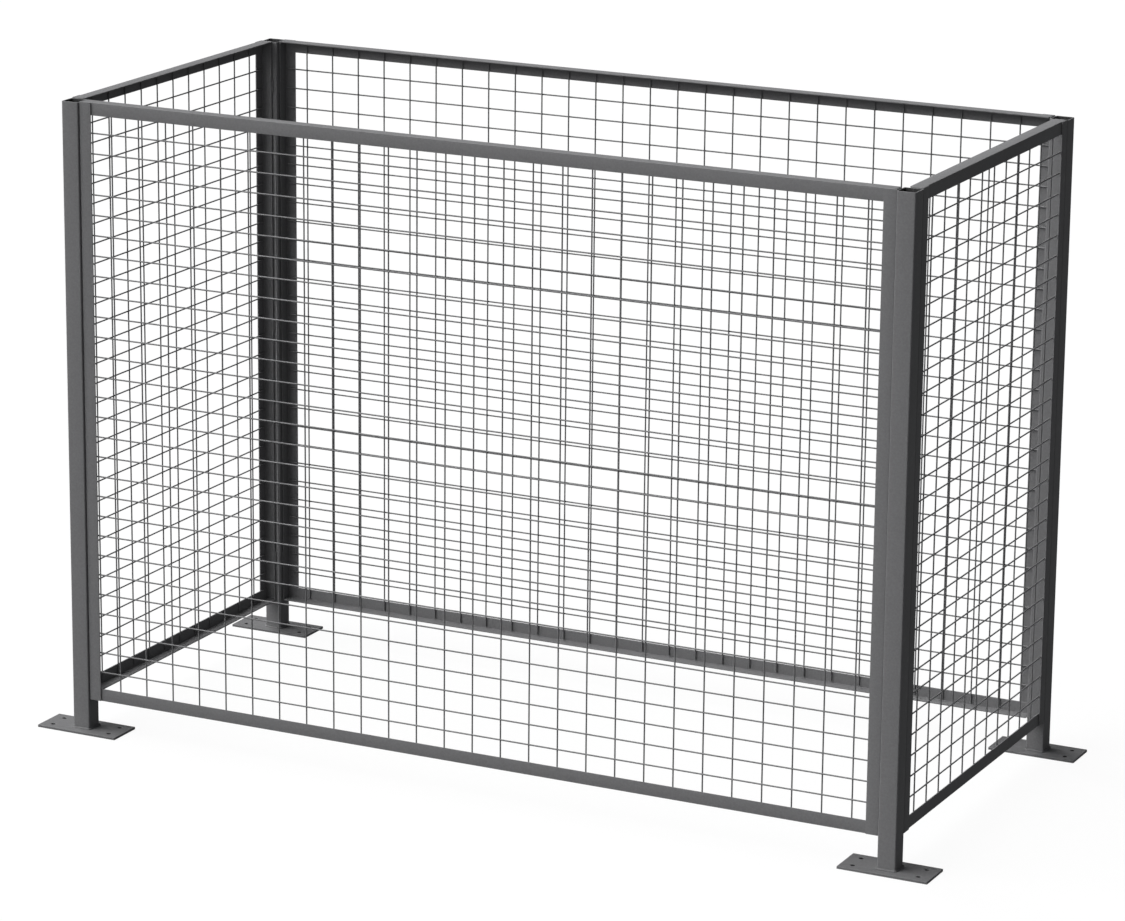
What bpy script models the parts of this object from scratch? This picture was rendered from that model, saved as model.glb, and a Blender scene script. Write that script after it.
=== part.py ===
"""Free-standing mesh enclosure: four tube posts on base plates, with a welded-wire panel between each pair.

Metres, +Z up. The origin is on the floor under the middle of the enclosure. X runs along the long side,
and the front is at -Y. Each panel is built once in its own frame, then turned to its side of the enclosure:
its x runs along the panel, its y from the outer face inwards, and its z up from the panel's lower edge.
"""

import math

import bmesh
import bpy
from mathutils import Matrix, Vector

# Layout
POST_SPACING_X = 2.375
POST_SPACING_Y = 1.048
POST_TOP = 1.744
PANEL_ABOVE_POST = 0.002
PANEL_GROUND_GAP = 0.0924

# Posts: square tube, open at the top
POST_SIDE = 0.0508
POST_WALL = 0.003
POST_CORNER_RADIUS = 0.004
BORE_CORNER_RADIUS = 0.001

# Base plates
PLATE_LENGTH = 0.2454
PLATE_WIDTH = 0.1086
PLATE_THICKNESS = 0.00635
PLATE_CORNER_RADIUS = 0.0015
ANCHOR_HOLE = 0.012
ANCHOR_SPACING_X = 0.178
ANCHOR_SPACING_Y = 0.0564

# Panel frames: equal-leg angle, one leg in the panel's face and the other pointing inwards round its edge
ANGLE_LEG = 0.034
ANGLE_THICKNESS = 0.0032
ANGLE_ROOT_RADIUS = 0.0016
ANGLE_TOE_RADIUS = 0.001
LONG_PANEL_RECESS = 0.005
SIDE_PANEL_RECESS = 0.001
POST_CLEARANCE = 0.0013

# Welded wire: cross wires behind the stiles' faces, uprights behind the cross wires
WIRE = 0.004
UPRIGHT_PITCH = 0.0828
UPRIGHT_EDGE = 0.06
LONG_PANEL_WIRE_SHIFT = 0.0087
CROSS_PITCH = 0.05517
CROSS_EDGE = 0.06
WIRE_END_INSET = 0.0085

# Welds
FOOT_WELD_LEG = 0.004
STITCH_LEG = 0.0045
STITCH_LENGTH = 0.04
STITCHES_PER_STILE = 3
STITCH_END_DISTANCE = 0.13
STITCH_TAPER = 0.004
STITCH_END_SCALE = 0.4
WELD_CROWN = 0.6

TOUCH_GAP = 0.0003
ARC_STEPS = 4
HOLE_SIDES = 20
CUT_PAST = 0.004
SMOOTH_ANGLE = math.radians(35)

# Sizes that follow
HALF_X = POST_SPACING_X / 2
HALF_Y = POST_SPACING_Y / 2
PANEL_HEIGHT = POST_TOP + PANEL_ABOVE_POST - PANEL_GROUND_GAP
END_TO_POST_CENTRE = POST_SIDE / 2 + POST_CLEARANCE
RAIL_FACE = ANGLE_THICKNESS + TOUCH_GAP
RAIL_END_INSET = ANGLE_THICKNESS + ANGLE_ROOT_RADIUS + TOUCH_GAP
CROSS_LAYER = RAIL_FACE
UPRIGHT_LAYER = max(CROSS_LAYER + WIRE, RAIL_FACE + ANGLE_THICKNESS) + TOUCH_GAP

IDENTITY = Matrix.Identity(4)
LAY_DOWN = Matrix(((0, 0, 1, 0), (0, 1, 0, 0), (1, 0, 0, 0), (0, 0, 0, 1)))


def clear_scene():
    for obj in list(bpy.data.objects):
        bpy.data.objects.remove(obj)


def paint(name, colour, roughness, metallic=0.0):
    made = bpy.data.materials.new(name)
    made.use_nodes = True
    shader = made.node_tree.nodes["Principled BSDF"]
    shader.inputs["Base Color"].default_value = (*colour, 1)
    shader.inputs["Roughness"].default_value = roughness
    shader.inputs["Metallic"].default_value = metallic
    return made


def add_object(name, shape, material=None, where=IDENTITY):
    """Turns a finished bmesh into an object, its faces outwards and its round stretches smooth."""
    bmesh.ops.recalc_face_normals(shape, faces=shape.faces)
    mesh = bpy.data.meshes.new(name)
    shape.to_mesh(mesh)
    shape.free()
    mesh.shade_smooth()
    mesh.set_sharp_from_angle(angle=SMOOTH_ANGLE)
    if material:
        mesh.materials.append(material)
    obj = bpy.data.objects.new(name, mesh)
    bpy.context.collection.objects.link(obj)
    obj.matrix_world = where
    return obj


def rounded(corners):
    """The outline through corners (u, v, radius), with an arc at each corner whose radius is above zero."""
    outline = []
    for index, (u, v, radius) in enumerate(corners):
        here = Vector((u, v))
        if radius <= 0:
            outline.append(here)
            continue
        back = (Vector(corners[index - 1][:2]) - here).normalized()
        on = (Vector(corners[(index + 1) % len(corners)][:2]) - here).normalized()
        centre = here + (back + on) * radius
        for step in range(ARC_STEPS + 1):
            turn = math.pi / 2 * step / ARC_STEPS
            outline.append(centre - on * radius * math.cos(turn) - back * radius * math.sin(turn))
    return outline


def rectangle(length, width, radius):
    a, b = length / 2, width / 2
    return rounded([(-a, -b, radius), (a, -b, radius), (a, b, radius), (-a, b, radius)])


def ring(shape, outline, z):
    return [shape.verts.new((u, v, z)) for u, v in outline]


def wall(shape, first, second):
    """Faces between two closed rings of the same number of points."""
    for i in range(len(first)):
        shape.faces.new((first[i - 1], first[i], second[i], second[i - 1]))


def prism(outline, low, high):
    shape = bmesh.new()
    bottom = ring(shape, outline, low)
    top = ring(shape, outline, high)
    wall(shape, bottom, top)
    shape.faces.new(bottom)
    shape.faces.new(top)
    return shape


def collar(rings_of_points):
    """A hollow solid whose skin goes round through these (outline, z) rings and back to the first."""
    shape = bmesh.new()
    rings = [ring(shape, outline, z) for outline, z in rings_of_points]
    for i in range(len(rings)):
        wall(shape, rings[i - 1], rings[i])
    return shape


def post_shape():
    outer = rectangle(POST_SIDE, POST_SIDE, POST_CORNER_RADIUS)
    bore = POST_SIDE - 2 * POST_WALL
    inner = rectangle(bore, bore, BORE_CORNER_RADIUS)
    foot = PLATE_THICKNESS + TOUCH_GAP
    return collar([(outer, foot), (outer, POST_TOP), (inner, POST_TOP), (inner, foot)])


def foot_weld_shape():
    """The fillet weld round a post's foot, its face slightly crowned."""
    def outline(out):
        side = POST_SIDE + 2 * out
        return rectangle(side, side, POST_CORNER_RADIUS + out)

    base = PLATE_THICKNESS + TOUCH_GAP
    crown = FOOT_WELD_LEG * WELD_CROWN
    return collar([
        (outline(TOUCH_GAP), base),
        (outline(TOUCH_GAP + FOOT_WELD_LEG), base),
        (outline(TOUCH_GAP + crown), base + crown),
        (outline(TOUCH_GAP), base + FOOT_WELD_LEG),
    ])


def anchor_hole_cutter(where):
    shape = bmesh.new()
    for x in (-ANCHOR_SPACING_X / 2, ANCHOR_SPACING_X / 2):
        for y in (-ANCHOR_SPACING_Y / 2, ANCHOR_SPACING_Y / 2):
            bmesh.ops.create_cone(
                shape,
                cap_ends=True,
                segments=HOLE_SIDES,
                radius1=ANCHOR_HOLE / 2,
                radius2=ANCHOR_HOLE / 2,
                depth=PLATE_THICKNESS + 2 * CUT_PAST,
                matrix=Matrix.Translation((x, y, PLATE_THICKNESS / 2)),
            )
    cutter = add_object("anchor_hole_cutter", shape, where=where)
    cutter.hide_render = True
    cutter.display_type = "WIRE"
    return cutter


def standing_post(name, where, coat, weld_finish):
    """A post, its base plate with four anchor holes, and the weld between them."""
    add_object("post_" + name, post_shape(), coat, where)
    add_object("foot_weld_" + name, foot_weld_shape(), weld_finish, where)
    flat = prism(rectangle(PLATE_LENGTH, PLATE_WIDTH, PLATE_CORNER_RADIUS), 0, PLATE_THICKNESS)
    plate = add_object("base_plate_" + name, flat, coat, where)
    holes = plate.modifiers.new("anchor_holes", "BOOLEAN")
    holes.operation = "DIFFERENCE"
    holes.object = anchor_hole_cutter(where)


def angle_outline():
    """The angle's section: its heel at the origin, one leg along +u and the other along +v."""
    leg, thick = ANGLE_LEG, ANGLE_THICKNESS
    return rounded([
        (0, 0, 0),
        (leg, 0, 0),
        (leg, thick, ANGLE_TOE_RADIUS),
        (thick, thick, ANGLE_ROOT_RADIUS),
        (thick, leg, ANGLE_TOE_RADIUS),
        (0, leg, 0),
    ])


def rail_shape(length):
    """The level angle along a panel's lower edge, behind the stiles' faces and between their inward legs."""
    half = length / 2 - RAIL_END_INSET
    shape = prism(angle_outline(), -half, half)
    shape.transform(Matrix.Translation((0, RAIL_FACE, 0)) @ LAY_DOWN)
    return shape


def stitch_shape(recess):
    """A short weld in the corner between the inner edge of a stile and its post, centred on z = 0."""
    across = POST_CLEARANCE - TOUCH_GAP + ANGLE_THICKNESS - ANGLE_TOE_RADIUS
    post_past_stile = POST_SIDE - recess - ANGLE_LEG - TOUCH_GAP
    along = min(STITCH_LEG, post_past_stile)
    corner = Vector((-POST_CLEARANCE + TOUCH_GAP, ANGLE_LEG + TOUCH_GAP))
    section = [(0, 0), (across, 0), (across * WELD_CROWN, along * WELD_CROWN), (0, along)]
    half = STITCH_LENGTH / 2
    full = half - STITCH_TAPER
    shape = bmesh.new()
    rings = [
        ring(shape, [corner + Vector(point) * scale for point in section], z)
        for z, scale in ((-half, STITCH_END_SCALE), (-full, 1), (full, 1), (half, STITCH_END_SCALE))
    ]
    for lower, upper in zip(rings, rings[1:]):
        wall(shape, lower, upper)
    shape.faces.new(rings[0])
    shape.faces.new(rings[-1])
    return shape


def stitch_heights():
    run = PANEL_HEIGHT - 2 * STITCH_END_DISTANCE
    return [STITCH_END_DISTANCE + run * i / (STITCHES_PER_STILE - 1) for i in range(STITCHES_PER_STILE)]


def spread(total, pitch, edge, shift=0.0):
    """Places of as many wires as fit at this pitch, centred, none within edge of an end, then all shifted."""
    count = int((total - 2 * edge) / pitch) + 1
    return [shift + (i - (count - 1) / 2) * pitch for i in range(count)]


def wire_layer(wires, front):
    """Square wires in one layer, as one solid from y = front to front + WIRE.

    A wire is (left, right, low, high) in the panel's face. Where two cross, they share their metal.
    """
    xs = sorted({x for left, right, low, high in wires for x in (left, right)})
    zs = sorted({z for left, right, low, high in wires for z in (low, high)})

    def is_metal(i, j):
        if not (0 <= i < len(xs) - 1 and 0 <= j < len(zs) - 1):
            return False
        x = (xs[i] + xs[i + 1]) / 2
        z = (zs[j] + zs[j + 1]) / 2
        return any(left < x < right and low < z < high for left, right, low, high in wires)

    shape = bmesh.new()
    made = {}

    def corner(spot, y):
        i, j = spot
        if (i, j, y) not in made:
            made[i, j, y] = shape.verts.new((xs[i], y, zs[j]))
        return made[i, j, y]

    back = front + WIRE
    for i in range(len(xs) - 1):
        for j in range(len(zs) - 1):
            if not is_metal(i, j):
                continue
            loop = [(i, j), (i + 1, j), (i + 1, j + 1), (i, j + 1)]
            for y in (front, back):
                shape.faces.new([corner(spot, y) for spot in loop])
            beyond = [(i, j - 1), (i + 1, j), (i, j + 1), (i - 1, j)]
            for k, neighbour in enumerate(beyond):
                if not is_metal(*neighbour):
                    a, b = loop[k], loop[(k + 1) % 4]
                    shape.faces.new((corner(a, front), corner(b, front), corner(b, back), corner(a, back)))
    return shape


def wire_shapes(length, shift):
    """The two layers of a panel's mesh: the cross wires in front, and the uprights behind them.

    The outermost wires of each layer tie the other layer's wires together, so each layer is one solid.
    """
    half_wire = WIRE / 2
    end = length / 2 - WIRE_END_INSET
    middle = PANEL_HEIGHT / 2
    crosses = [
        (-end, end, middle + z - half_wire, middle + z + half_wire)
        for z in spread(PANEL_HEIGHT, CROSS_PITCH, CROSS_EDGE)
    ]
    places = spread(length, UPRIGHT_PITCH, UPRIGHT_EDGE, shift)

    def uprights(chosen, inset):
        return [(x - half_wire, x + half_wire, inset, PANEL_HEIGHT - inset) for x in chosen]

    front = crosses[1:-1] + uprights((places[0], places[-1]), ANGLE_LEG + TOUCH_GAP)
    back = [crosses[0], crosses[-1]] + uprights(places[1:-1], WIRE_END_INSET)
    return wire_layer(front, CROSS_LAYER), wire_layer(back, UPRIGHT_LAYER)


def panel(side, ends, spacing, recess, shift, where, finishes):
    """One panel between two posts. ends names its -x and +x ends; where puts its frame in the enclosure."""
    coat, wire_coat, weld_finish = finishes
    length = spacing - 2 * END_TO_POST_CENTRE

    add_object(side + "_bottom_rail", rail_shape(length), coat, where)
    upper = rail_shape(length)
    upper.transform(Matrix.Translation((0, 0, PANEL_HEIGHT)) @ Matrix.Diagonal((1, 1, -1, 1)))
    add_object(side + "_top_rail", upper, coat, where)

    crosses, uprights = wire_shapes(length, shift)
    add_object(side + "_horizontal_wires", crosses, wire_coat, where)
    add_object(side + "_vertical_wires", uprights, wire_coat, where)

    for direction, end in zip((-1, 1), ends):
        # The +x end is the -x end's mirror image.
        at_end = Matrix.Translation((direction * length / 2, 0, 0)) @ Matrix.Diagonal((-direction, 1, 1, 1))
        stile = prism(angle_outline(), 0, PANEL_HEIGHT)
        stile.transform(at_end)
        add_object(f"{side}_{end}_stile", stile, coat, where)
        for number, z in enumerate(stitch_heights(), 1):
            stitch = stitch_shape(recess)
            stitch.transform(at_end @ Matrix.Translation((0, 0, z)))
            add_object(f"{side}_{end}_stitch_weld_{number}", stitch, weld_finish, where)


def build():
    clear_scene()
    coat = paint("graphite_powder_coat", (0.13, 0.13, 0.133), 0.55)
    wire_coat = paint("graphite_coated_wire", (0.12, 0.12, 0.123), 0.5)
    weld_finish = paint("coated_weld", (0.125, 0.125, 0.128), 0.45)
    finishes = (coat, wire_coat, weld_finish)

    for x, x_name in ((-HALF_X, "left"), (HALF_X, "right")):
        for y, y_name in ((-HALF_Y, "front"), (HALF_Y, "back")):
            standing_post(f"{y_name}_{x_name}", Matrix.Translation((x, y, 0)), coat, weld_finish)

    long_face = HALF_Y + POST_SIDE / 2 - LONG_PANEL_RECESS
    side_face = HALF_X + POST_SIDE / 2 - SIDE_PANEL_RECESS
    long_sizes = (POST_SPACING_X, LONG_PANEL_RECESS, LONG_PANEL_WIRE_SHIFT)
    side_sizes = (POST_SPACING_Y, SIDE_PANEL_RECESS, 0.0)
    # Going round from the front: name, ends, sizes, the middle of the outer face, and quarter turns.
    panels = (
        ("front", ("left", "right"), long_sizes, (0, -long_face), 0),
        ("right", ("front", "back"), side_sizes, (side_face, 0), 1),
        ("back", ("right", "left"), long_sizes, (0, long_face), 2),
        ("left", ("back", "front"), side_sizes, (-side_face, 0), 3),
    )
    for side, ends, sizes, (x, y), quarters in panels:
        turn = Matrix.Rotation(quarters * math.pi / 2, 4, "Z")
        where = Matrix.Translation((x, y, PANEL_GROUND_GAP)) @ turn
        panel(side, ends, *sizes, where, finishes)


build()
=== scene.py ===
# %% [markdown]
# # A welded mesh enclosure, from its CAD frame to a finished picture
#
# The object is a guard that stands round a machine: four posts of square tube on base plates, and between
# them four panels of welded wire in frames of steel angle, all under one coat of graphite powder paint.
# The CAD solids say where everything is and how big it is. What they leave out is what this lesson adds:
# round wire with a weld at each crossing, the small radii that catch the light, rippled weld beads, and
# paint.
#
# The first step loads the CAD model. Its box is kept, so that the end of the lesson can show that the
# finished pieces take up the same room.

import math
import random

import bmesh
import bpy
from mathutils import Matrix, Vector


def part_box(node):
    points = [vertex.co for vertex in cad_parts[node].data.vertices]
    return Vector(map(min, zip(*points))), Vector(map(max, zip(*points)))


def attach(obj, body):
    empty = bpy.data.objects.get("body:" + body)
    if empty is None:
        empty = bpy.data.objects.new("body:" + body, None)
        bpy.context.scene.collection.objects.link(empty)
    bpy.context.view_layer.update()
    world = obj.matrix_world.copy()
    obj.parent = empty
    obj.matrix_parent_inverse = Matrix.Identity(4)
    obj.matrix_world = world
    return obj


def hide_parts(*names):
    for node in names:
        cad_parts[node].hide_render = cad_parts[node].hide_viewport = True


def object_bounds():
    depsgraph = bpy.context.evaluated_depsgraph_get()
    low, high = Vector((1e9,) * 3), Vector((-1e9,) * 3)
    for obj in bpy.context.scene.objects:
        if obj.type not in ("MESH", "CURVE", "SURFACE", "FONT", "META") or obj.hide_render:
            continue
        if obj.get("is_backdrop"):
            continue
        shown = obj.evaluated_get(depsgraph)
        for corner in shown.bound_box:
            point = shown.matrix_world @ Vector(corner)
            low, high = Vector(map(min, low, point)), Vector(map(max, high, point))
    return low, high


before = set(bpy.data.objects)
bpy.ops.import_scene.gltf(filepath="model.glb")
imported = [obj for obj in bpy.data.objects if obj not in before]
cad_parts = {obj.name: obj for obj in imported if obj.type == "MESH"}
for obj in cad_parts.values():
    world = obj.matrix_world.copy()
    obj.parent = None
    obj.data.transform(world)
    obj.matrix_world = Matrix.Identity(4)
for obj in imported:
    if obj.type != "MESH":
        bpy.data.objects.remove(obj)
cad_low, cad_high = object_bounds()
print("CAD nodes:", len(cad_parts), "size:", [round(v, 4) for v in cad_high - cad_low])

# %% [markdown]
# ## Reading sizes back from the solids
#
# A piece that is drawn again must land exactly where its solid is. The sizes could be typed in a second
# time, but then a change to the model would leave this script behind. So they are measured: the angle's
# thickness is how far the rails sit behind the stiles, less the 0.3 mm that touching solids keep between
# them.

# %% Measure the stock
TOUCH_GAP = 0.0003

stile_low, stile_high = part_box("front_left_stile")
rail_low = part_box("front_top_rail")[0]
wire_low, wire_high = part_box("front_horizontal_wires")
post_low, post_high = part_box("post_front_left")
plate_low, plate_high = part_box("base_plate_front_left")

ANGLE_LEG = stile_high.x - stile_low.x
ANGLE_THICKNESS = rail_low.y - stile_low.y - TOUCH_GAP
WIRE = wire_high.y - wire_low.y
POST_SIDE = post_high.x - post_low.x
print(f"angle {ANGLE_LEG:.4f} x {ANGLE_THICKNESS:.4f}, wire {WIRE:.4f}, post {POST_SIDE:.4f}")

# %% [markdown]
# ## Where the wires run
#
# Each panel's mesh is two CAD solids of square bars. The ends of the bars show where each wire is: at the
# lowest edge of a solid every vertex belongs to a bar's end, and half way between its two corners is the
# wire's centre line. In each solid the two outermost wires of the other direction are there as ties, so
# all of a direction's wires are found by reading both solids.

# %% Read the wires' centre lines
def bar_centres(node, along, across):
    """Centres, on the axis across, of the bars that end at this node's lowest place on the axis along."""
    points = [v.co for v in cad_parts[node].data.vertices]
    end = min(p[along] for p in points)
    edges = sorted({round(p[across], 5) for p in points if p[along] < end + TOUCH_GAP})
    return [(a + b) / 2 for a, b in zip(edges[::2], edges[1::2])]


def all_wires(side, run):
    """Heights of a side's horizontal wires, and places of its uprights along the side's own axis, run."""
    crosses, uprights = side + "_horizontal_wires", side + "_vertical_wires"
    heights = sorted(bar_centres(crosses, run, 2) + bar_centres(uprights, run, 2))
    places = sorted(bar_centres(uprights, 2, run) + bar_centres(crosses, 2, run))
    return heights, places


for side, run in (("front", 0), ("right", 1), ("back", 0), ("left", 1)):
    heights, places = all_wires(side, run)
    print(side, len(heights), "horizontal wires,", len(places), "uprights")

# %% [markdown]
# ## One frame for all four panels
#
# The panels differ in length and in where they stand, and in nothing else. So each piece is drawn once in
# a panel's own frame: x along the panel, y from its outer face inwards, z up from its lower edge. One
# matrix then puts the piece in its place. It is a turn about z and a shift, never a mirror, so no face
# ends up inside out.

# %% Set out the panels
class Panel:
    def __init__(self, side, run, inward, ends):
        self.side, self.run, self.ends = side, run, ends
        face = 1 - run
        boxes = [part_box(f"{side}_{end}_stile") for end in ends]
        low = Vector([min(b[0][k] for b in boxes) for k in range(3)])
        high = Vector([max(b[1][k] for b in boxes) for k in range(3)])
        self.length, self.height = high[run] - low[run], high.z - low.z
        middle = (low[run] + high[run]) / 2
        outer = low[face] if inward > 0 else high[face]
        ahead = (inward if run == 0 else -inward)
        x_axis, y_axis, origin = Vector((0, 0, 0)), Vector((0, 0, 0)), Vector((0, 0, low.z))
        x_axis[run], y_axis[face] = ahead, inward
        origin[run], origin[face] = middle, outer
        self.matrix = Matrix((
            (x_axis.x, y_axis.x, 0, origin.x),
            (x_axis.y, y_axis.y, 0, origin.y),
            (0, 0, 1, origin.z),
            (0, 0, 0, 1),
        ))
        heights, places = all_wires(side, run)
        self.heights = [z - low.z for z in heights]
        self.places = sorted((p - middle) * ahead for p in places)


panels = [
    Panel("front", 0, 1, ("left", "right")),
    Panel("right", 1, -1, ("front", "back")),
    Panel("back", 0, -1, ("right", "left")),
    Panel("left", 1, 1, ("back", "front")),
]
for p in panels:
    print(p.side, f"length {p.length:.4f} height {p.height:.4f}, a true turn: {p.matrix.determinant() > 0}")

# %% [markdown]
# ## Shader maths as plain Python
#
# A node tree is a formula drawn as boxes. Written as a formula it is shorter and easier to check. The class
# below wraps one output socket. Its operators add the Math node that does the sum and return the new
# socket, so `1 - mask` or `0.5 + 0.1 * noise` reads as it would on paper. Colours go through Mix nodes
# instead, because a Math node would turn them grey.

# %% A socket that does arithmetic
class Flow:
    def __init__(self, paint, socket):
        self.paint, self.socket = paint, socket

    def __add__(self, other):
        return self.paint.math("ADD", self, other)

    def __sub__(self, other):
        return self.paint.math("SUBTRACT", self, other)

    def __rsub__(self, other):
        return self.paint.math("SUBTRACT", other, self)

    def __mul__(self, other):
        return self.paint.math("MULTIPLY", self, other)

    __radd__ = __add__
    __rmul__ = __mul__

    def clamped(self):
        return self.paint.math("ADD", self, 0.0, clamp=True)


print("what a socket can do:", [name for name in vars(Flow) if callable(getattr(Flow, name))])

# %% [markdown]
# Every other node comes from one method: the kind of node, its settings, then what goes into its sockets.
# The settings are made first, because some of them change which sockets the node has. A ramp's stops are a
# setting too. The few nodes used again and again have a short name of their own, which calls that method.

# %% A small workshop for one paint
class Paint:
    def __init__(self, name):
        self.material = bpy.data.materials.new(name)
        self.material.use_nodes = True
        self.tree = self.material.node_tree
        self.shader = self.tree.nodes["Principled BSDF"]

    def feed(self, socket, value):
        if isinstance(value, Flow):
            self.tree.links.new(value.socket, socket)
        else:
            socket.default_value = value

    def node(self, kind, settings, inputs, output=0):
        made = self.tree.nodes.new(kind)
        for key, value in settings.items():
            if key == "stops":
                self.set_stops(made.color_ramp.elements, value)
            else:
                setattr(made, key, value)
        for key, value in inputs.items():
            self.feed(made.inputs[key], value)
        return Flow(self, made.outputs[output])

    def set_stops(self, points, stops):
        """A ramp starts with a stop at each end. Each stop here is a place and a level of grey."""
        while len(points) < len(stops):
            points.new(0.5)
        for point, (place, level) in zip(points, stops):
            point.position = place
            point.color = (level, level, level, 1)

    def math(self, operation, a, b=None, clamp=False):
        inputs = {0: a} if b is None else {0: a, 1: b}
        return self.node("ShaderNodeMath", {"operation": operation, "use_clamp": clamp}, inputs)

    def ramp(self, value, stops):
        return self.node("ShaderNodeValToRGB", {"stops": stops}, {"Fac": value})

    def noise(self, point, scale, detail=2.0):
        return self.node("ShaderNodeTexNoise", {}, {"Vector": point, "Scale": scale, "Detail": detail})

    def mix(self, factor, a, b):
        """Between two colours. The node has sockets for every type it mixes; 6 and 7 are the colours."""
        return self.node("ShaderNodeMix", {"data_type": "RGBA"}, {0: factor, 6: a, 7: b}, output=2)


print("what a paint can do:", [name for name in vars(Paint) if callable(getattr(Paint, name))])

# %% [markdown]
# ## Graphite powder coat
#
# Powder paint is baked on, and it never lies quite flat. It has an orange-peel skin a couple of
# millimetres across, and a fine grain of paler and darker specks. It is duller where it lies thick, and
# handling polishes it in faint scuffs. Edges get a thinner film and take the knocks, so they show a shade
# paler. All of this is slight: seen from across the room the coat is an even dark grey, and these things
# only keep it from looking like plastic.
#
# The walls inside a tube or a drilled hole get a paint of their own below, a quarter as light as the
# graphite. That darkness is painted shade, for the shade that gathers deep in a bore or a hole. A weld
# sits in a corner, which keeps some powder away, so the paint on the welds is a shade darker.
#
# Object coordinates are metres here, so a noise scale of 450 is a pattern about 2 mm across. A noise value
# seldom strays far from a half, so a ramp stretches it before it is used.

# %% Name the coat's colour and patterns
GRAPHITE = (0.13, 0.13, 0.133)
PEEL_SCALE = 450.0
GRAIN_SCALE = 210.0
CLOUD_SCALE = 3.5
SCUFF_SCALE = 38.0
DUST_SCALE = 1600.0
PEEL_HEIGHT = 0.0004
STRETCH = [(0.3, 0.0), (0.7, 1.0)]
ONLY_HIGH = [(0.56, 0.0), (0.72, 1.0)]
UPPER_HALF = [(0.5, 0.0), (0.75, 1.0)]
SHARP_EDGES = [(0.52, 0.0), (0.60, 1.0)]
DARKER, PALER, WORN = 0.84, 1.16, 1.9
SPECULAR = 0.35


def tint(colour, level):
    return tuple(v * level for v in colour)


def shade(colour, level):
    return (*tint(colour, level), 1)


print("graphite from", round(GRAPHITE[0] * DARKER, 3), "to", round(GRAPHITE[0] * PALER, 3))

# %% Mix a powder coat
def powder_coat(name, colour, roughness, peel=0.28, dust=0.1):
    """The coat for one kind of stock: how rough, how strong its orange peel, and how much dust it holds."""
    coat = Paint(name)
    place = coat.node("ShaderNodeTexCoord", {}, {}, output="Object")
    clouds = coat.ramp(coat.noise(place, CLOUD_SCALE), STRETCH)
    grain = coat.ramp(coat.noise(place, GRAIN_SCALE), STRETCH)
    scuffs = coat.ramp(coat.noise(place, SCUFF_SCALE, detail=4.0), ONLY_HIGH)
    specks = coat.ramp(coat.noise(place, DUST_SCALE), UPPER_HALF)
    edges = coat.node("ShaderNodeNewGeometry", {}, {}, output="Pointiness")
    wear = coat.ramp(edges, SHARP_EDGES) * (1 - 0.6 * clouds)

    base = coat.mix(0.3 * clouds + 0.7 * grain, shade(colour, DARKER), shade(colour, PALER))
    base = coat.mix((0.4 * wear + dust * specks * clouds).clamped(), base, shade(colour, WORN))
    dull = (roughness + 0.08 * clouds - 0.12 * scuffs - 0.1 * wear).clamped()
    coat.feed(coat.shader.inputs["Base Color"], base)
    coat.feed(coat.shader.inputs["Roughness"], dull)

    surface = coat.noise(place, PEEL_SCALE, detail=1.0) + 0.35 * coat.noise(place, DUST_SCALE, detail=1.0)
    bump = coat.node("ShaderNodeBump", {}, {"Strength": peel, "Distance": PEEL_HEIGHT, "Height": surface})
    coat.feed(coat.shader.inputs["Normal"], bump)
    coat.shader.inputs["Metallic"].default_value = 0.0
    coat.shader.inputs["Specular IOR Level"].default_value = SPECULAR
    return coat.material


tube_coat = powder_coat("graphite_on_tube", GRAPHITE, roughness=0.52)
print("nodes in the tube's coat:", len(tube_coat.node_tree.nodes))

# %% Mix a coat for each kind of stock
angle_coat = powder_coat("graphite_on_angle", GRAPHITE, roughness=0.55, peel=0.32)
# The plates' paint is 0.88 of the graphite: painted shade, for the shade the posts and panels throw on them.
# They also hold more dust.
shaded_plate_coat = powder_coat("graphite_on_plate", tint(GRAPHITE, 0.88), roughness=0.50, dust=0.3)
wire_coat = powder_coat("graphite_on_wire", tint(GRAPHITE, 0.92), roughness=0.48, peel=0.12, dust=0.0)
weld_coat = powder_coat("graphite_on_weld", tint(GRAPHITE, 0.82), roughness=0.48, peel=0.36)
# Bores and hole walls get this paint, a quarter as light as the graphite: painted shade, for the shade deep
# in a tube or a hole.
painted_shade_coat = powder_coat("painted_shade_inside", tint(GRAPHITE, 0.25), roughness=0.66, peel=0.12, dust=0.0)
coats = (tube_coat, angle_coat, shaded_plate_coat, wire_coat, weld_coat, painted_shade_coat)
print("paints:", [coat.name for coat in coats])

# One helper does it, so no piece can miss a step. A piece that has a bore or holes is given a second
# paint for their walls: the dark painted shade.

# %% Finish a piece
SMOOTH_ANGLE = math.radians(40)


def finish_piece(name, shape, coat, nodes, matrix, inside=None):
    shape.transform(matrix)
    bmesh.ops.recalc_face_normals(shape, faces=shape.faces)
    mesh = bpy.data.meshes.new(name)
    shape.to_mesh(mesh)
    shape.free()
    mesh.shade_smooth()
    mesh.set_sharp_from_angle(angle=SMOOTH_ANGLE)
    mesh.materials.append(coat)
    # The second paint, when a piece has one, is the painted shade for the walls of its bore or holes.
    if inside is not None:
        mesh.materials.append(inside)
    piece = bpy.data.objects.new(name, mesh)
    bpy.context.collection.objects.link(piece)
    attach(piece, "root")
    if nodes:
        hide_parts(*nodes)


print("faces that meet at less than", round(math.degrees(SMOOTH_ANGLE)), "degrees are shaded as one")

# %% [markdown]
# ## Outlines with soft corners
#
# Rolled and drawn steel has no sharp corners, and paint rounds off what is left. A dark object on a pale
# ground is read by its edges, so these small radii matter more than their size suggests. An outline is a
# list of corners, each with its own radius, and every corner that has one becomes an arc. The centre of
# the arc sits one radius along each of the two edges, which holds for outside and inside corners alike.

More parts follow.
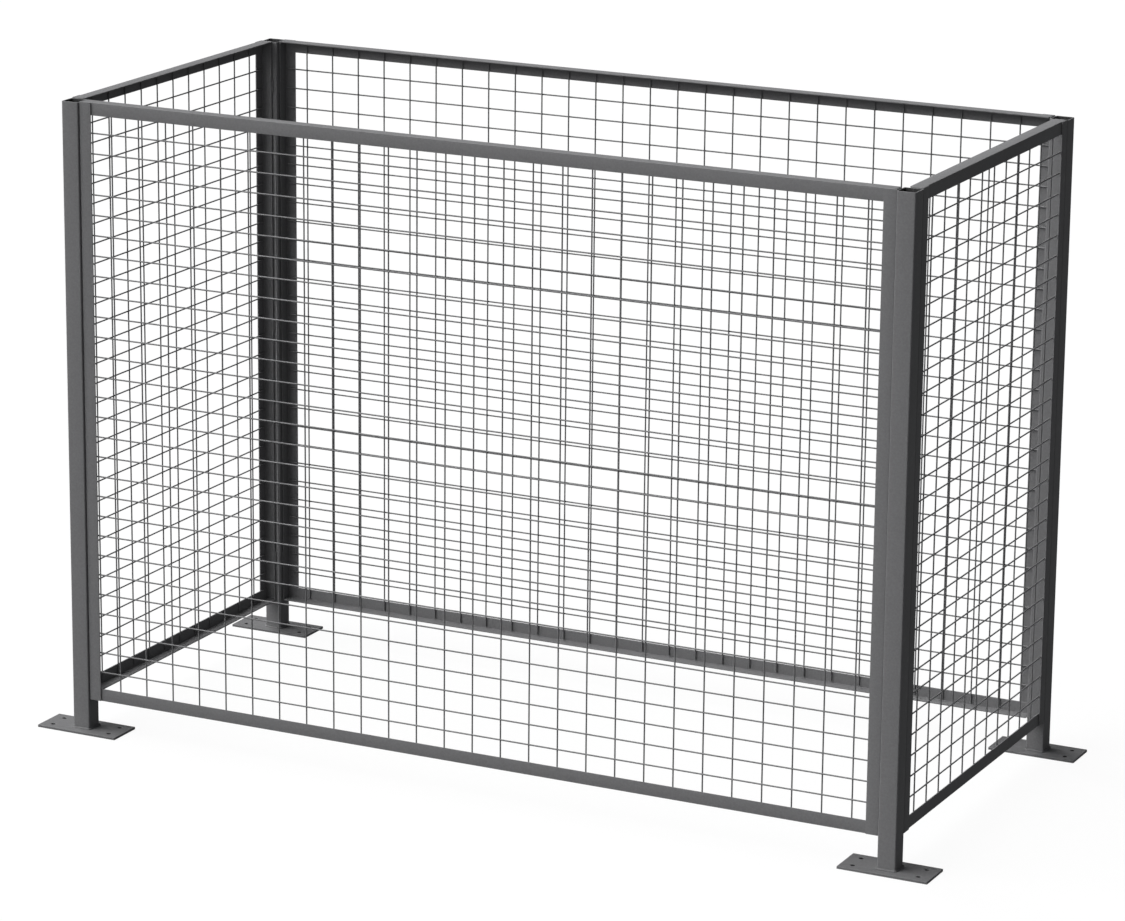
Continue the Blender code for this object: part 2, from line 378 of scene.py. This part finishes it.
# %% Round the corners of an outline
def rounded(corners, steps):
    outline = []
    for index, (u, v, radius) in enumerate(corners):
        here = Vector((u, v))
        back = (Vector(corners[index - 1][:2]) - here).normalized()
        on = (Vector(corners[(index + 1) % len(corners)][:2]) - here).normalized()
        centre = here + (back + on) * radius
        for step in range(steps + 1):
            turn = math.pi / 2 * step / steps
            outline.append(centre - on * radius * math.cos(turn) - back * radius * math.sin(turn))
    return outline


def rounded_rectangle(half_width, half_depth, radius, steps):
    a, b, r = half_width, half_depth, radius
    return rounded([(-a, -b, r), (a, -b, r), (a, b, r), (-a, b, r)], steps)


def rounded_square(side, radius):
    return rounded_rectangle(side / 2, side / 2, radius, steps=8)


def turns(count):
    """Angles that part a full turn evenly."""
    return [2 * math.pi * k / count for k in range(count)]


print("points in a square outline:", len(rounded_square(side=0.05, radius=0.004)))

# %% Sweep an outline
# A piece's second paint is painted shade, for the walls of its bore or holes.
COATED, SHADED_INSIDE = 0, 1


def ring(shape, outline, z):
    return [shape.verts.new((u, v, z)) for u, v in outline]


def skin(shape, first, second, paint=COATED):
    """A band of faces between two rings, in the piece's first paint or in the painted shade of its inside.
    """
    for i in range(len(first)):
        face = shape.faces.new((first[i - 1], first[i], second[i], second[i - 1]))
        face.material_index = paint


def skin_rings(shape, rings, paints=None):
    for k, (lower, upper) in enumerate(zip(rings, rings[1:])):
        skin(shape, lower, upper, paints[k] if paints else COATED)


def cap_ends(shape, rings):
    shape.faces.new(rings[0])
    shape.faces.new(rings[-1])


def fill_between(shape, rings):
    """One flat face bounded by all these rings, the outermost being its rim and the others its holes."""
    edges = [shape.edges.get((r[i - 1], r[i])) for r in rings for i in range(len(r))]
    bmesh.ops.triangle_fill(shape, edges=edges, use_beauty=True)


trial = bmesh.new()
skin_rings(trial, [ring(trial, rounded_square(side=0.05, radius=0.004), z) for z in (0, 1)])
print("faces in a trial sleeve:", len(trial.faces))
trial.free()

# %% [markdown]
# ## The posts
#
# A post is two skins, outside and bore, that meet in a ring at each end. The saw leaves a sharp edge there,
# and the paint softens it to about a third of a millimetre. One extra ring per skin at each end gives that
# bevel real geometry. The bore has the small bead that every welded tube has inside, along one wall; it
# shows when you look down into the open top.

# %% Outline the bore
POST_WALL = 0.003
POST_CORNER = 0.004
BORE_CORNER = 0.0012
EDGE_SOFTENING = 0.00035
SEAM_WIDTH = 0.004
SEAM_RISE = 0.0006
BORE_STEPS = 6


def bore_outline(shrink=0.0):
    """The bore, with the tube's own weld seam standing off the middle of its back wall."""
    h, w = POST_SIDE / 2 - POST_WALL + shrink, SEAM_WIDTH / 2
    arcs = rounded_rectangle(h, h, BORE_CORNER, BORE_STEPS)
    half_turn = [math.pi * k / BORE_STEPS for k in range(BORE_STEPS + 1)]
    seam = [Vector((w * math.cos(t), h - SEAM_RISE * math.sin(t))) for t in half_turn]
    third_corner_end = 3 * (BORE_STEPS + 1)
    return arcs[:third_corner_end] + seam + arcs[third_corner_end:]


print("points round the bore:", len(bore_outline()))

# %% Build a post
def tube_post(low_z, high_z):
    shape = bmesh.new()
    soft = EDGE_SOFTENING
    outer = rounded_square(POST_SIDE, POST_CORNER)
    outer_in = rounded_square(POST_SIDE - 2 * soft, POST_CORNER - soft)
    outside = [ring(shape, outer_in, low_z), ring(shape, outer, low_z + soft),
               ring(shape, outer, high_z - soft), ring(shape, outer_in, high_z)]
    bore = [ring(shape, bore_outline(soft), low_z), ring(shape, bore_outline(), low_z + soft),
            ring(shape, bore_outline(), high_z - soft), ring(shape, bore_outline(soft), high_z)]
    skin_rings(shape, outside)
    # The bore's wall takes the painted shade; its softened ends keep the coat.
    skin_rings(shape, bore, (COATED, SHADED_INSIDE, COATED))
    for end in (0, -1):
        fill_between(shape, (outside[end], bore[end]))
    return shape


corners = ("front_left", "front_right", "back_left", "back_right")
for corner in corners:
    node = "post_" + corner
    low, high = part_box(node)
    centre = (low + high) / 2
    where = Matrix.Translation((centre.x, centre.y, 0))
    post = tube_post(low.z, high.z)
    finish_piece("tube_" + corner, post, tube_coat, [node], where, painted_shade_coat)
print("posts:", len(corners), "each", round(post_high.z - post_low.z, 4), "m long")

# %% [markdown]
# ## The base plates
#
# Each plate is flat bar with four drilled anchor holes. A Boolean would cut the holes, but it leaves long
# thin triangles that shade badly. Filling the face between the outline and the four circles gives clean
# edges, and lets each hole have its own countersunk rim where the drill burr was taken off. The hole places
# are read from the CAD plate: every vertex well inside its outline belongs to a hole.

# %% Find the anchor holes
PLATE_CORNER = 0.0015
PLATE_SOFTENING = 0.0005
HOLE_SIDES = 40
RIM = 0.0006


def hole_centres(node):
    """Centres and radius of a plate's holes, from the vertices that lie inside its outline."""
    low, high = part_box(node)
    middle = (low + high) / 2
    margin = PLATE_CORNER * 2
    inside = [v.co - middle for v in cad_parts[node].data.vertices
              if low.x + margin < v.co.x < high.x - margin and low.y + margin < v.co.y < high.y - margin]
    found = []
    for sx in (-1, 1):
        for sy in (-1, 1):
            group = [p for p in inside if p.x * sx > 0 and p.y * sy > 0]
            xs, ys = [p.x for p in group], [p.y for p in group]
            centre = Vector(((min(xs) + max(xs)) / 2, (min(ys) + max(ys)) / 2))
            found.append((centre, (max(ys) - min(ys)) / 2))
    return found


for x, y in (centre for centre, _ in hole_centres("base_plate_front_left")):
    print("anchor hole", f"{x * 1000:.1f}, {y * 1000:.1f} mm from the plate's middle")

# %% Draw a plate's edge and its holes
def plate_edge(length, width, inset):
    return rounded_rectangle(length / 2 - inset, width / 2 - inset, PLATE_CORNER - inset, steps=6)


def circle(centre, radius):
    return [centre + Vector((radius * math.cos(t), radius * math.sin(t))) for t in turns(HOLE_SIDES)]


trial_edge = plate_edge(length=0.2, width=0.1, inset=0)
print("points round a plate:", len(trial_edge), "and round a hole:", len(circle(Vector((0, 0)), 1)))

# %% Build the plates
def base_plate(size, holes):
    shape = bmesh.new()
    soft, (length, width, thick) = PLATE_SOFTENING, size
    levels = ((0, soft), (soft, 0), (thick - soft, 0), (thick, soft))
    edge = [ring(shape, plate_edge(length, width, inset), z) for z, inset in levels]
    skin_rings(shape, edge)
    stacks = [edge]
    rims = ((0, RIM), (RIM, 0), (thick - RIM, 0), (thick, RIM))
    for centre, radius in holes:
        hole = [ring(shape, circle(centre, radius + flare), z) for z, flare in rims]
        # A hole's wall and its lower rim take the painted shade; the top rim keeps the coat.
        skin_rings(shape, hole, (SHADED_INSIDE, SHADED_INSIDE, COATED))
        stacks.append(hole)
    for end in (0, -1):
        fill_between(shape, [stack[end] for stack in stacks])
    return shape


for corner in corners:
    node = "base_plate_" + corner
    low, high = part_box(node)
    centre = (low + high) / 2
    where = Matrix.Translation((centre.x, centre.y, low.z))
    plate = base_plate(high - low, hole_centres(node))
    finish_piece("plate_" + corner, plate, shaded_plate_coat, [node], where, painted_shade_coat)
print("base plates:", len(corners), "each", [round(v * 1000, 1) for v in high - low], "mm")

# %% [markdown]
# ## Weld beads
#
# A hand-laid bead is a row of overlapping drops. Each drop freezes from its toes inwards, so its edge is a
# crescent that points back along the bead, and no two drops are quite the same size. The bead is swept like
# any other bar, but its section swells and shrinks once a ripple, and the crown's swelling trails the toes'.
# The random numbers come from a seeded generator, so it comes out the same every time.

# %% Shape the ripples
RIPPLE = 0.0024
RIPPLE_DEPTH = 0.10
RIPPLE_TRAIL = 0.0015
BEAD_WANDER = 0.05
BEAD_STEPS_PER_RIPPLE = 6
FACE_STEPS = 8


def bead_swell(distance, wander):
    """How full the bead is at this distance along it: most at the crest of a ripple, less between crests."""
    count, phase = divmod(distance / RIPPLE, 1.0)
    drop = 0.5 + 0.5 * wander[int(count) % len(wander)]
    return 1 - RIPPLE_DEPTH * (1 - math.sqrt(math.sin(math.pi * phase))) - BEAD_WANDER * drop


def fillet_section(across, along, distance, wander):
    """A crowned fillet, from its root: two flat faces on the steel, and a round face between their toes."""
    points = [Vector((0, 0))]
    for k in range(FACE_STEPS + 1):
        turn = math.pi / 2 * k / FACE_STEPS
        full = bead_swell(distance + RIPPLE_TRAIL * math.sin(2 * turn), wander)
        points.append(Vector((across * full * math.cos(turn), along * full * math.sin(turn))))
    return points


fullness = [bead_swell(RIPPLE * k / 4, [0.0]) for k in range(5)]
print("how full the bead is through one ripple:", [round(v, 3) for v in fullness])

# %% Follow the foot of a post
ROOT_STRAIGHT = POST_SIDE - 2 * POST_CORNER
ROOT_TURN = POST_CORNER + TOUCH_GAP
ROOT_QUARTER = ROOT_STRAIGHT + math.pi / 2 * ROOT_TURN


def round_the_post(s):
    """The bead's root at the distance s round a post, and the way straight out from the post there."""
    side, t = divmod(s, ROOT_QUARTER)
    if t < ROOT_STRAIGHT:
        spot, out = Vector((t - ROOT_STRAIGHT / 2, -POST_SIDE / 2 - TOUCH_GAP)), Vector((0, -1))
    else:
        turn = (t - ROOT_STRAIGHT) / ROOT_TURN
        out = Vector((math.sin(turn), -math.cos(turn)))
        spot = Vector((ROOT_STRAIGHT / 2, -ROOT_STRAIGHT / 2)) + out * ROOT_TURN
    spin = Matrix.Rotation(side * math.pi / 2, 2)
    return spin @ spot, spin @ out


print("round a post's foot:", round(4 * ROOT_QUARTER, 4), "m")

# %% Weld the posts' feet
SEEDS_PER_POST = 100


def foot_bead(corner, seed):
    low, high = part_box("foot_weld_" + corner)
    leg, centre = high.z - low.z, (low + high) / 2
    rng = random.Random(seed)
    ripples = round(4 * ROOT_QUARTER / RIPPLE)
    wander = [rng.uniform(-1, 1) for _ in range(ripples)]
    stations = ripples * BEAD_STEPS_PER_RIPPLE
    shape = bmesh.new()
    rings = []
    for k in range(stations):
        spot, out = round_the_post(4 * ROOT_QUARTER * k / stations)
        points = fillet_section(leg, leg, ripples * RIPPLE * k / stations, wander)
        rings.append([shape.verts.new((*(spot + out * p.x), low.z + p.y)) for p in points])
    skin_rings(shape, rings + rings[:1])
    where = Matrix.Translation((centre.x, centre.y, 0))
    finish_piece("foot_bead_" + corner, shape, weld_coat, ["foot_weld_" + corner], where)
    return ripples


for number, corner in enumerate(corners):
    print("foot bead", corner, "has", foot_bead(corner, SEEDS_PER_POST * number), "ripples")

# %% [markdown]
# ## The angle frames
#
# Equal-leg angle has a heel that is nearly sharp, toes rounded on the inside only, and a root fillet that
# the rolls leave between its legs. The outline below has those three radii. The sawn ends are softened by
# one bevelled ring each, as the posts' ends are.

# %% Draw an angle
HEEL_RADIUS = 0.0005
ROOT_RADIUS = 0.0016
TOE_RADIUS = 0.001
TOE_EDGE = 0.0003


def angle_outline(inset=0.0):
    leg, thick, i = ANGLE_LEG, ANGLE_THICKNESS, inset
    return rounded([
        (i, i, HEEL_RADIUS),
        (leg - i, i, TOE_EDGE),
        (leg - i, thick - i, TOE_RADIUS - i),
        (thick - i, thick - i, ROOT_RADIUS + i),
        (thick - i, leg - i, TOE_RADIUS - i),
        (i, leg - i, TOE_EDGE),
    ], steps=5)


def angle_bar(low, high):
    shape = bmesh.new()
    soft = TOE_EDGE
    rings = [ring(shape, angle_outline(soft), low), ring(shape, angle_outline(), low + soft),
             ring(shape, angle_outline(), high - soft), ring(shape, angle_outline(soft), high)]
    skin_rings(shape, rings)
    cap_ends(shape, rings)
    return shape


print("points round an angle:", len(angle_outline()))

# %% Find a frame's ends and edges
LAY_DOWN = Matrix(((0, 0, 1, 0), (0, 1, 0, 0), (1, 0, 0, 0), (0, 0, 0, 1)))
RAIL_FACE = ANGLE_THICKNESS + TOUCH_GAP


def end_frame(panel, direction):
    """From a corner frame, x into the panel from its edge, to the panel's own frame, at its -x or +x end."""
    return Matrix.Translation((direction * panel.length / 2, 0, 0)) @ Matrix.Diagonal((-direction, 1, 1, 1))


def edge_frame(panel, top):
    """From a lower-edge frame to the panel's own frame, at its lower or upper edge."""
    if not top:
        return Matrix.Identity(4)
    return Matrix.Translation((0, 0, panel.height)) @ Matrix.Diagonal((1, 1, -1, 1))


def box_in(matrix, node):
    """A CAD solid's box as it lies in the frame that this matrix stands for."""
    a, b = (matrix.inverted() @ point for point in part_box(node))
    return Vector([min(a[k], b[k]) for k in range(3)]), Vector([max(a[k], b[k]) for k in range(3)])


print("the rails lie", round(RAIL_FACE * 1000, 2), "mm behind a panel's face")

# %% Put up the stiles and rails
for p in panels:
    for direction, end in zip((-1, 1), p.ends):
        node = f"{p.side}_{end}_stile"
        where = p.matrix @ end_frame(p, direction)
        finish_piece(node + "_angle", angle_bar(0, p.height), angle_coat, [node], where)
    for top, edge in ((False, "bottom"), (True, "top")):
        node = f"{p.side}_{edge}_rail"
        low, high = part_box(node)
        half = (high[p.run] - low[p.run]) / 2
        where = p.matrix @ edge_frame(p, top) @ Matrix.Translation((0, RAIL_FACE, 0)) @ LAY_DOWN
        finish_piece(node + "_angle", angle_bar(-half, half), angle_coat, [node], where)
print("angles:", 4 * len(panels))

# %% [markdown]
# ## Stitch welds
#
# Three short beads hold each stile to its post, in the corner where the stile's inner edge meets the post.
# The CAD beads give their places. Each is swept with the same ripple as the foot beads, and swells up
# from a fifth of its size at its start and down again at its end, as a bead does when the arc is struck
# and broken.

# %% Taper a straight bead
STITCH_STEP = 0.0004
LEAST_FULL = 0.2
DROPS = 41
SEEDS_PER_BEAD = 31


def add_straight_bead(shape, across, along, length, root, seed):
    """A bead along z in this shape, from its root, its section tapering to a rounded end both ways."""
    wander = [random.Random(seed * SEEDS_PER_BEAD + k).uniform(-1, 1) for k in range(DROPS)]
    count = int(length / STITCH_STEP)
    rings = []
    for k in range(count + 1):
        s = length * k / count
        from_end = min(s, length - s) / (across + along)
        full = max(LEAST_FULL, math.sqrt(1 - max(0.0, 1 - from_end) ** 2))
        points = fillet_section(across * full, along * full, s, wander)
        rings.append([shape.verts.new((root.x + q.x, root.y + q.y, root.z + s)) for q in points])
    skin_rings(shape, rings)
    cap_ends(shape, rings)


trial = bmesh.new()
add_straight_bead(trial, across=0.004, along=0.004, length=0.03, root=Vector((0, 0, 0)), seed=1)
print("faces in a trial bead:", len(trial.faces))
trial.free()

# %% Lay the stitch welds
FIRST_STITCH_SEED = 7
STITCHES_PER_STILE = 3


def stitch_piece(panel, end, direction, seed):
    where = panel.matrix @ end_frame(panel, direction)
    nodes = [f"{panel.side}_{end}_stitch_weld_{k + 1}" for k in range(STITCHES_PER_STILE)]
    shape = bmesh.new()
    for k, node in enumerate(nodes):
        low, high = box_in(where, node)
        across, along, length = high - low
        add_straight_bead(shape, across, along, length, low, seed + k)
    finish_piece(f"{panel.side}_{end}_stitches", shape, weld_coat, nodes, where)


seed = FIRST_STITCH_SEED
for p in panels:
    for direction, end in zip((-1, 1), p.ends):
        stitch_piece(p, end, direction, seed)
        seed += STITCHES_PER_STILE
print("stitch welds:", seed - FIRST_STITCH_SEED)

# %% [markdown]
# ## Frame corner welds
#
# A rail's ends stop just short of the stiles' inward legs. A bead closes each of those joints. It runs along
# the rail's end from heel to toe, bridges the gap, laps a little onto the rail and climbs a little way up
# the stile. These sixteen beads have no CAD solids of their own, so they replace nothing.

# %% Weld the frames' corners
CORNER_SEED = 400
SEEDS_PER_PANEL = 10
ON_THE_RAIL = 0.6
UP_THE_STILE = 0.75


def corner_welds(panel, seed):
    shape = bmesh.new()
    low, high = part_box(f"{panel.side}_top_rail")
    gap = panel.length / 2 - (high[panel.run] - low[panel.run]) / 2 - ANGLE_THICKNESS
    length = ANGLE_LEG - ANGLE_THICKNESS - RAIL_FACE
    across, along = gap + ANGLE_THICKNESS * ON_THE_RAIL, ANGLE_THICKNESS * UP_THE_STILE
    for direction in (-1, 1):
        for top in (False, True):
            one = bmesh.new()
            add_straight_bead(one, across, along, length, Vector((0, 0, 0)), seed)
            seed += 1
            # The bead was made along z from its root. Here it runs inwards along y, and it rises along z.
            inwards = Matrix(((1, 0, 0, 0), (0, 0, 1, 0), (0, 1, 0, 0), (0, 0, 0, 1)))
            start = Matrix.Translation((ANGLE_THICKNESS, RAIL_FACE + ANGLE_THICKNESS, ANGLE_THICKNESS))
            one.transform(edge_frame(panel, top) @ end_frame(panel, direction) @ start @ inwards)
            kept = bpy.data.meshes.new("bead")
            one.to_mesh(kept)
            one.free()
            shape.from_mesh(kept)
            bpy.data.meshes.remove(kept)
    finish_piece(panel.side + "_corner_welds", shape, weld_coat, [], panel.matrix)


for number, p in enumerate(panels):
    corner_welds(p, CORNER_SEED + SEEDS_PER_PANEL * number)
print("corner welds:", 4 * len(panels))

# %% [markdown]
# ## Round wire
#
# The wires are drawn steel, straight and round, cropped square at the ends. The cross wires lie in one
# layer and the uprights in the next. Resistance welding softens both at each crossing and squeezes them
# together, so the layers end up less than two wires deep. That set-down is real here: the uprights sit
# a fifth of a wire into the cross wires, and a flattened nugget of squeezed metal wraps each crossing.

# %% Draw one wire
WIRE_SIDES = 12
CROP_BEVEL = 0.0003
SET_DOWN = 0.2 * WIRE
CROSS_Y = RAIL_FACE + WIRE / 2
UPRIGHT_Y = CROSS_Y + WIRE - SET_DOWN


def add_wire(shape, start, end, radius):
    """One round wire with softened, cropped ends."""
    start, end = Vector(start), Vector(end)
    axis = (end - start).normalized()
    side = axis.orthogonal().normalized()
    other = axis.cross(side)
    rings = []
    stations = ((start, radius - CROP_BEVEL), (start + axis * CROP_BEVEL, radius),
                (end - axis * CROP_BEVEL, radius), (end, radius - CROP_BEVEL))
    for spot, r in stations:
        points = [spot + (side * math.cos(t) + other * math.sin(t)) * r for t in turns(WIRE_SIDES)]
        rings.append([shape.verts.new(point) for point in points])
    skin_rings(shape, rings)
    cap_ends(shape, rings)


print("the two layers together are", round((UPRIGHT_Y - CROSS_Y + WIRE) * 1000, 2), "mm deep")

# %% String the wires
for p in panels:
    node = p.side + "_horizontal_wires"
    low, high = box_in(p.matrix, node)
    crosses = bmesh.new()
    for z in p.heights:
        add_wire(crosses, (low.x, CROSS_Y, z), (high.x, CROSS_Y, z), WIRE / 2)
    finish_piece(p.side + "_cross_wires", crosses, wire_coat, [node], p.matrix)
    node = p.side + "_vertical_wires"
    low, high = box_in(p.matrix, node)
    uprights = bmesh.new()
    for x in p.places:
        add_wire(uprights, (x, UPRIGHT_Y, low.z), (x, UPRIGHT_Y, high.z), WIRE / 2)
    finish_piece(p.side + "_upright_wires", uprights, wire_coat, [node], p.matrix)
print("wires:", sum(len(p.heights) + len(p.places) for p in panels))

# %% [markdown]
# ## Weld nuggets
#
# At a crossing the squeezed steel spreads into a flat lens between the two wires. A full lens at each of
# two thousand crossings would be heavy, so each is a low ring of eight sides with a point at each pole.
# Most of it is inside the wires, and the collar that shows is what the eye takes for a weld.
# The same nugget joins the wires to the frame: the cross wires to the stiles, the uprights to the rails.

# %% Press a nugget
NUGGET_SIDES = 8
NUGGET_RADIUS = 0.68 * WIRE
NUGGET_HALF_DEPTH = 0.34 * WIRE
NUGGET_BELLY = [(0.62, 0.8), (1.0, 0.0), (0.62, -0.8)]
TACK_RADIUS = 0.8 * WIRE
TACK_FROM_EDGE = 0.62 * ANGLE_LEG


def add_nugget(shape, centre, radius, half_depth):
    """A flattened lens whose short axis is y."""
    rings = []
    for out, depth in NUGGET_BELLY:
        reach, y = radius * out, half_depth * depth
        offsets = [Vector((reach * math.cos(t), y, reach * math.sin(t))) for t in turns(NUGGET_SIDES)]
        rings.append([shape.verts.new(centre + offset) for offset in offsets])
    skin_rings(shape, rings)
    for end, depth in ((rings[0], 1.0), (rings[-1], -1.0)):
        pole = shape.verts.new(centre + Vector((0, half_depth * depth, 0)))
        for i in range(NUGGET_SIDES):
            shape.faces.new((end[i - 1], end[i], pole))


print("a nugget is", round(2 * NUGGET_RADIUS * 1000, 2), "mm across")

# %% Weld every crossing
nuggets_made = 0
for p in panels:
    shape = bmesh.new()
    between = (CROSS_Y + UPRIGHT_Y) / 2
    for z in p.heights:
        for x in p.places:
            add_nugget(shape, Vector((x, between, z)), NUGGET_RADIUS, NUGGET_HALF_DEPTH)
            nuggets_made += 1
    finish_piece(p.side + "_crossing_welds", shape, weld_coat, [], p.matrix)
print("crossing welds:", nuggets_made)

# %% Tack the wires to their frames
tacks_made = 0
for p in panels:
    tacks = bmesh.new()
    stile_line = p.length / 2 - TACK_FROM_EDGE
    spots = [(x, RAIL_FACE, z) for z in p.heights for x in (-stile_line, stile_line)]
    for z in (TACK_FROM_EDGE, p.height - TACK_FROM_EDGE):
        spots += [(x, RAIL_FACE + ANGLE_THICKNESS, z) for x in p.places]
    for spot in spots:
        add_nugget(tacks, Vector(spot), TACK_RADIUS, NUGGET_HALF_DEPTH)
    tacks_made += len(spots)
    finish_piece(p.side + "_frame_tacks", tacks, weld_coat, [], p.matrix)
print("frame tacks:", tacks_made)

# %% [markdown]
# ## The floor
#
# A pale, plain studio floor that runs past every edge of the picture, under a dome of the same tone. Real
# white paper throws so much light back that a dark object loses its shadow sides. In a studio that light
# is held off with black cards. Here the floor and the dome are simply left out of the light that bounces,
# which does the same job: the camera sees them, and the steel does not. The floor is pale because it glows,
# and that glow would show through the anchor holes, so under the base plates the floor is painted near
# black: a painted shadow, for the shade inside the holes where the plates stand on the floor.

# %% Mask the floor under the plates
def shadow_under_plates(paper, place):
    """Where the painted shadow goes: 1 under the base plates and 0 elsewhere. They stand evenly about the
    middle, so one quarter does.
    """
    middle, half = (plate_low + plate_high) / 2, (plate_high - plate_low) / 2
    reach = []
    for axis, k in (("X", 0), ("Y", 1)):
        along = paper.node("ShaderNodeSeparateXYZ", {}, {"Vector": place}, output=axis)
        beside = paper.math("ABSOLUTE", along) - abs(middle[k])
        reach.append(paper.math("ABSOLUTE", beside) * (1 / half[k]))
    return paper.math("LESS_THAN", paper.math("MAXIMUM", *reach), 1.0)


print("each mask is", [round(v, 4) for v in (plate_high - plate_low)[:2]], "m")

# %% Paint the floor and the dome
PAPER = (0.93, 0.93, 0.93)
# The near black under the base plates is a painted shadow, seen through the anchor holes.
UNDER_PLATE_SHADOW = (0.01, 0.01, 0.01, 1)
PAPER_CLOUDS = 0.7
EVENNESS = 0.995


def stage_material(name, glow, diffuse, shaded):
    paper = Paint(name)
    place = paper.node("ShaderNodeTexCoord", {}, {}, output="Object")
    light = paper.ramp(paper.noise(place, PAPER_CLOUDS), [(0.0, glow * EVENNESS), (1.0, glow)])
    if shaded:
        # Under the plates the glow gives way to the painted shadow.
        light = paper.mix(shadow_under_plates(paper, place), light, UNDER_PLATE_SHADOW)
    paper.feed(paper.shader.inputs["Emission Color"], light)
    paper.shader.inputs["Emission Strength"].default_value = 1.0
    paper.shader.inputs["Base Color"].default_value = shade(PAPER, diffuse)
    paper.shader.inputs["Roughness"].default_value = 1.0
    paper.shader.inputs["Specular IOR Level"].default_value = 0.0
    return paper.material


floor_paper = stage_material("studio_floor", glow=0.93, diffuse=0.06, shaded=True)
dome_paper = stage_material("studio_dome", glow=1.0, diffuse=0.0, shaded=False)
print("stage paints:", floor_paper.name, dome_paper.name)

# %% Lay the floor and the dome
FLOOR_RADIUS = 40.0
FLOOR_SIDES = 96
DOME_DETAIL = 4


def stage_object(name, shape, material):
    bmesh.ops.recalc_face_normals(shape, faces=shape.faces)
    mesh = bpy.data.meshes.new(name)
    shape.to_mesh(mesh)
    shape.free()
    mesh.materials.append(material)
    made = bpy.data.objects.new(name, mesh)
    bpy.context.collection.objects.link(made)
    made.visible_diffuse = False
    made.visible_glossy = False
    made.visible_shadow = False
    made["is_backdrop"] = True


floor_shape = bmesh.new()
rim = [(FLOOR_RADIUS * math.cos(t), FLOOR_RADIUS * math.sin(t), 0) for t in turns(FLOOR_SIDES)]
floor_shape.faces.new([floor_shape.verts.new(point) for point in rim])
stage_object("floor", floor_shape, floor_paper)

dome_shape = bmesh.new()
bmesh.ops.create_icosphere(dome_shape, subdivisions=DOME_DETAIL, radius=FLOOR_RADIUS)
stage_object("dome", dome_shape, dome_paper)
print("stage:", FLOOR_RADIUS, "m out from the middle")

# %% [markdown]
# ## Light
#
# Every front face of this long object should show the same grey, near and far. A lamp in the room cannot
# do that, because its light falls off with distance. So the two lamps here are distant ones, each spread
# over a wide angle to keep its shadows soft. The key stands high over the left, a little to the front: it
# makes the ledges brightest and the fronts a mid grey, and does not reach the right-hand faces. The fill
# comes in low from the front, under the ledges that shade the top rails. The world adds just enough to
# keep the dark side from going black.

# %% Set the lights
def distant_lamp(name, towards, strength, spread):
    """A far lamp in the direction towards, as seen from the object, spread over an angle in degrees."""
    lamp = bpy.data.lights.new(name, "SUN")
    lamp.energy = strength
    lamp.angle = math.radians(spread)
    made = bpy.data.objects.new(name, lamp)
    bpy.context.collection.objects.link(made)
    made.rotation_euler = Vector(towards).to_track_quat("Z", "Y").to_euler()


distant_lamp("key", towards=(-0.75, -0.27, 0.86), strength=5.85, spread=75)
distant_lamp("fill", towards=(-0.30, -0.95, 0.10), strength=0.44, spread=80)
print("lamps:", [lamp.name for lamp in bpy.data.lights])

# %% Light the shadows
SKY_COLOUR = (0.97, 0.98, 1.0, 1)
SKY_STRENGTH = 0.145

world = bpy.data.worlds.new("studio")
world.use_nodes = True
sky = world.node_tree.nodes["Background"]
sky.inputs["Color"].default_value = SKY_COLOUR
sky.inputs["Strength"].default_value = SKY_STRENGTH
bpy.context.scene.world = world
bpy.context.scene.view_settings.view_transform = "Standard"
bpy.context.scene.view_settings.look = "None"
print("view:", bpy.context.scene.view_settings.view_transform)

# %% [markdown]
# ## The camera
#
# The camera stands well back with a long lens, a little above the enclosure and to its right, so the long
# side runs away to the left and the verticals lean only slightly. Its turn is built from three angles:
# yaw about the vertical, pitch down, and a trace of roll.

# %% Work out the camera's turn
CAMERA_PLACE = (5.200362, -10.526136, 3.981818)
YAW, PITCH, ROLL = 0.458923, -0.265634, 0.009892

ahead = Vector((-math.sin(YAW) * math.cos(PITCH), math.cos(YAW) * math.cos(PITCH), math.sin(PITCH)))
level = Vector((math.cos(YAW), math.sin(YAW), 0))
above = level.cross(ahead)
right = level * math.cos(ROLL) + above * math.sin(ROLL)
up = above * math.cos(ROLL) - level * math.sin(ROLL)
print("the camera looks along", [round(v, 3) for v in ahead])

# %% Place the camera
LENS = 145.22
SENSOR_WIDTH = 36.0
FARTHEST = 200.0

eye = bpy.data.cameras.new("eye")
eye.lens = LENS
eye.sensor_width = SENSOR_WIDTH
eye.clip_end = FARTHEST
camera = bpy.data.objects.new("camera", eye)
bpy.context.collection.objects.link(camera)
camera.matrix_world = Matrix((
    (right.x, up.x, -ahead.x, CAMERA_PLACE[0]),
    (right.y, up.y, -ahead.y, CAMERA_PLACE[1]),
    (right.z, up.z, -ahead.z, CAMERA_PLACE[2]),
    (0, 0, 0, 1),
))
bpy.context.scene.camera = camera
print("camera height:", CAMERA_PLACE[2], "m, lens", LENS, "mm")

# %% [markdown]
# ## Compare the boxes and finish
#
# The finished pieces must fill the same box as the CAD solids. The last step prints how far each corner
# of the box has moved.

# %% Write the sizes and finish
seen_low, seen_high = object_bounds()
for name, change in (("low", seen_low - cad_low), ("high", seen_high - cad_high)):
    print(name, "corner moved by", [round(v * 1000, 2) for v in change], "mm")
